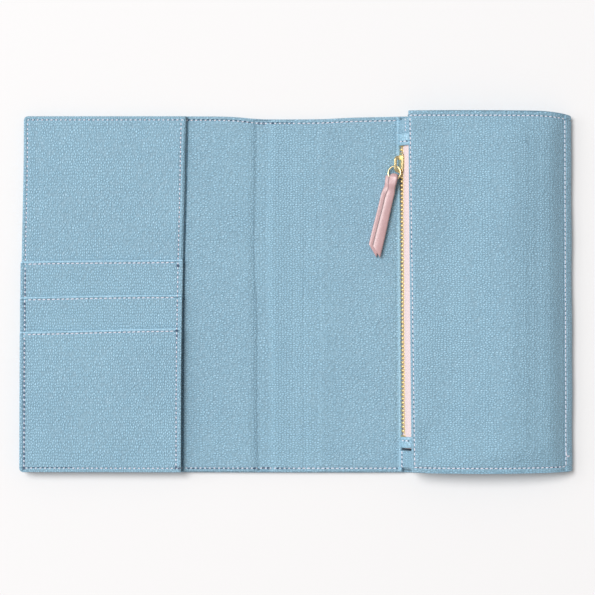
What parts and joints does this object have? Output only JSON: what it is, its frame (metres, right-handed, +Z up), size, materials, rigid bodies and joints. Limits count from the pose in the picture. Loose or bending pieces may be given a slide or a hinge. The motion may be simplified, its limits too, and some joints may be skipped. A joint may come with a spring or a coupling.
{
  "type": "passport holder",
  "caption": "Pale blue leather passport holder lying open, with a passport sleeve, stepped card slots and a bulging zip pocket whose slider has a folded leather pull.",
  "frame": {"origin": "middle of the spine's underside, on the surface that the open holder lies on", "axes": "+X across the open holder towards the zip pocket, +Y towards the top edge (the slider's closed end), +Z up from the surface"},
  "size_m": [0.22, 0.1439, 0.011],
  "materials": {
    "blue_leather": "fine pebbled grain, soft satin",
    "thread": "pale lilac polyester sewing thread",
    "stiff_card": "pressed grey board",
    "lining_cloth": "plain weave lining cloth",
    "pink_tape": "woven polyester zip tape",
    "gold_metal": "polished pale gold plate",
    "pink_leather": "smooth dusty pink leather with painted edges"
  },
  "bodies": {
    "spine": {"outer_cover_spine": "blue_leather", "spine_interfacing": "lining_cloth", "lining_spine": "blue_leather", "seam_spine_top": "thread", "seam_spine_bottom": "thread"},
    "left_cover": {"outer_cover_left": "blue_leather", "board_left": "stiff_card", "lining_left": "blue_leather", "passport_sleeve": "blue_leather", "card_slot_back": "blue_leather", "card_slot_middle": "blue_leather", "card_slot_front": "blue_leather", "seam_left_edge": "thread", "seam_sleeve_mouth": "thread", "seam_slot_back": "thread", "seam_slot_middle": "thread", "seam_slot_front": "thread"},
    "right_cover": {"outer_cover_right": "blue_leather", "board_right": "stiff_card", "lining_right": "blue_leather", "pocket_lining_back": "lining_cloth", "pocket_front": "blue_leather", "pocket_lining_front": "lining_cloth", "gusset_top": "blue_leather", "gusset_bottom": "blue_leather", "zip_tape_outer": "pink_tape", "zip_tape_inner": "pink_tape", "zip_teeth_inner": "gold_metal", "zip_teeth_outer": "gold_metal", "zip_stop_bottom": "gold_metal", "zip_tab_top": "blue_leather", "zip_tab_bottom": "blue_leather", "seam_right_top": "thread", "seam_right_bottom": "thread", "seam_pocket_front": "thread", "seam_tab_top": "thread", "seam_tab_bottom": "thread"},
    "slider": {"slider_body": "gold_metal", "slider_bridge": "gold_metal"},
    "ring": {"pull_ring": "gold_metal"},
    "pull": {"pull_strap": "pink_leather"}
  },
  "joints": [
    {"name": "left_cover_fold", "type": "hinge", "parent": "spine", "child": "left_cover", "pos_m": [-0.0125, 0, 0.00125], "axis": [0, 1, 0], "range_deg": [0, 90]},
    {"name": "right_cover_fold", "type": "hinge", "parent": "spine", "child": "right_cover", "pos_m": [0.0125, 0, 0.00125], "axis": [0, -1, 0], "range_deg": [0, 90]},
    {"name": "zip_slide", "type": "slide", "parent": "right_cover", "child": "slider", "axis": [0, -1, 0], "range_m": [0, 0.104]},
    {"name": "ring_lift", "type": "hinge", "parent": "slider", "child": "ring", "pos_m": [0.04029, 0.05026, 0.00557], "axis": [0.7716, -0.5245, 0.3598], "range_deg": [-60, 0]},
    {"name": "pull_turn", "type": "hinge", "parent": "ring", "child": "pull", "pos_m": [0.03844, 0.04544, 0.00471], "axis": [0.8787, -0.245, 0.4097], "range_deg": [-45, 0]}
  ]
}
